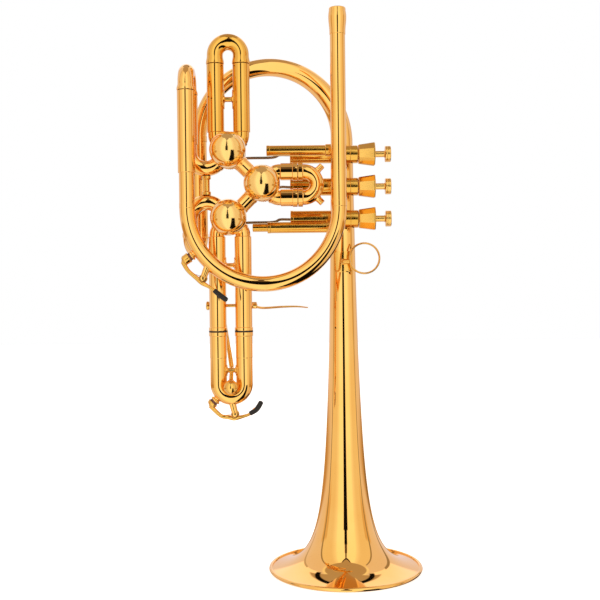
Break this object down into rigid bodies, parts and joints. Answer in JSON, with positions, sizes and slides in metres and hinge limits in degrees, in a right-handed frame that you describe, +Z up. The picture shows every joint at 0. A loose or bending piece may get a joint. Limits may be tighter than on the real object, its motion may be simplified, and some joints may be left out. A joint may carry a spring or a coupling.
{
  "type": "rotary trumpet",
  "caption": "Gold-plated rotary-valve trumpet with ball-shaped valve caps, push buttons that turn the rotors through rods, sliding tubes, a trigger and water keys, standing on its bell.",
  "frame": {"origin": "middle of the bottom of the bounding box, on the plane that the bell rim stands on", "axes": "+Z up from the bell rim to the mouthpiece receiver, +X towards the finger buttons, -Y towards the ball-shaped valve caps"},
  "size_m": [0.1967, 0.1354, 0.4576],
  "materials": {
    "gold": "polished gold plate with warm reflections",
    "steel": "satin nickel silver and steel",
    "cork": "dull brown cork"
  },
  "bodies": {
    "root": {"ball_cap_1": "gold", "ball_cap_2": "gold", "ball_cap_3": "gold", "barrel_bracket": "gold", "bell": "gold", "bell_bow": "gold", "bell_tail": "gold", "button_barrel_1": "gold", "button_barrel_2": "gold", "button_barrel_3": "gold", "elbow_post": "gold", "finger_ring": "gold", "first_slide_outer_legs": "gold", "inlet_elbow": "gold", "leadpipe": "gold", "leadpipe_brace": "gold", "lower_stay": "gold", "main_bow": "gold", "mouthpiece_receiver": "gold", "octagon_cap_1": "gold", "octagon_cap_2": "gold", "octagon_cap_3": "gold", "outlet_elbow": "gold", "return_bend": "gold", "second_slide_outer_leg_lower": "gold", "second_slide_outer_leg_upper": "gold", "third_slide_outer_legs": "gold", "tuning_outer_leg_back": "gold", "tuning_outer_leg_front": "gold", "upper_stay": "gold", "valve_1_casing": "gold", "valve_2_casing": "gold", "valve_3_casing": "gold", "valve_tube_12": "gold", "valve_tube_23": "gold"},
    "button_1": {"button_1": "gold", "link_rod_1": "steel"},
    "valve_rotor_1": {"rotor_1": "steel", "rotor_lever_1": "steel"},
    "button_2": {"button_2": "gold", "link_rod_2": "steel"},
    "valve_rotor_2": {"rotor_2": "steel", "rotor_lever_2": "steel"},
    "button_3": {"button_3": "gold", "link_rod_3": "steel"},
    "valve_rotor_3": {"rotor_3": "steel", "rotor_lever_3": "steel"},
    "tuning_slide": {"tuning_crook": "gold"},
    "first_slide": {"first_slide_crook": "gold"},
    "second_slide": {"second_slide_crook": "gold"},
    "third_slide": {"third_slide_crook": "gold", "third_slide_lower_brace": "gold", "trigger_rod": "gold"},
    "trigger": {"trigger_shaft": "gold", "trigger_lever": "gold"},
    "water_key_1": {"water_key_1": "gold", "water_key_1_cork": "cork"},
    "water_key_2": {"water_key_2": "gold", "water_key_2_cork": "cork"}
  },
  "joints": [
    {"name": "button_1_press", "type": "slide", "parent": "root", "child": "button_1", "axis": [-1, 0, 0], "range_m": [0, 0.00777], "stiffness_N_per_m": 150, "springref_m": -0.004},
    {"name": "rotor_1_turn", "type": "hinge", "parent": "root", "child": "valve_rotor_1", "pos_m": [-0.0589, -0.0373, 0.3493], "axis": [0, 1, 0], "range_deg": [0, 90]},
    {"name": "button_2_press", "type": "slide", "parent": "root", "child": "button_2", "axis": [-1, 0, 0], "range_m": [0, 0.00777], "stiffness_N_per_m": 150, "springref_m": -0.004},
    {"name": "rotor_2_turn", "type": "hinge", "parent": "root", "child": "valve_rotor_2", "pos_m": [-0.0323, -0.0373, 0.3227], "axis": [0, 1, 0], "range_deg": [0, 90]},
    {"name": "button_3_press", "type": "slide", "parent": "root", "child": "button_3", "axis": [-1, 0, 0], "range_m": [0, 0.00777], "stiffness_N_per_m": 150, "springref_m": -0.004},
    {"name": "rotor_3_turn", "type": "hinge", "parent": "root", "child": "valve_rotor_3", "pos_m": [-0.0589, -0.0373, 0.2961], "axis": [0, 1, 0], "range_deg": [0, 90]},
    {"name": "tuning_slide_pull", "type": "slide", "parent": "root", "child": "tuning_slide", "axis": [0, 0, 1], "range_m": [0, 0.025]},
    {"name": "first_slide_pull", "type": "slide", "parent": "root", "child": "first_slide", "axis": [0, 0, 1], "range_m": [0, 0.03]},
    {"name": "second_slide_pull", "type": "slide", "parent": "root", "child": "second_slide", "axis": [1, 0, 0], "range_m": [0, 0.007]},
    {"name": "trigger_turn", "type": "hinge", "parent": "root", "child": "trigger", "pos_m": [-0.0589, -0.0267, 0.2258], "axis": [-1, 0, 0], "range_deg": [0, 76]},
    {"name": "third_slide_run", "type": "slide", "parent": "root", "child": "third_slide", "axis": [0, 0, -1], "range_m": [0, 0.01477], "stiffness_N_per_m": 150, "springref_m": -0.02},
    {"name": "water_key_1_open", "type": "hinge", "parent": "root", "child": "water_key_1", "pos_m": [-0.0787, -0.0593, 0.248], "axis": [0, -1, 0], "range_deg": [0, 20], "stiffness_Nm_per_rad": 0.03, "springref_deg": -22.92},
    {"name": "water_key_2_open", "type": "hinge", "parent": "third_slide", "child": "water_key_2", "pos_m": [-0.0563, -0.0373, 0.1385], "axis": [0, -1, 0], "range_deg": [0, 16], "stiffness_Nm_per_rad": 0.03, "springref_deg": -22.92}
  ],
  "couplings": [
    {"joint": "rotor_1_turn", "follows": "button_1_press", "rad_per_m": 201.95},
    {"joint": "rotor_2_turn", "follows": "button_2_press", "rad_per_m": 201.95},
    {"joint": "rotor_3_turn", "follows": "button_3_press", "rad_per_m": 201.95},
    {"joint": "trigger_turn", "follows": "third_slide_run", "rad_per_m": 89.775}
  ]
}
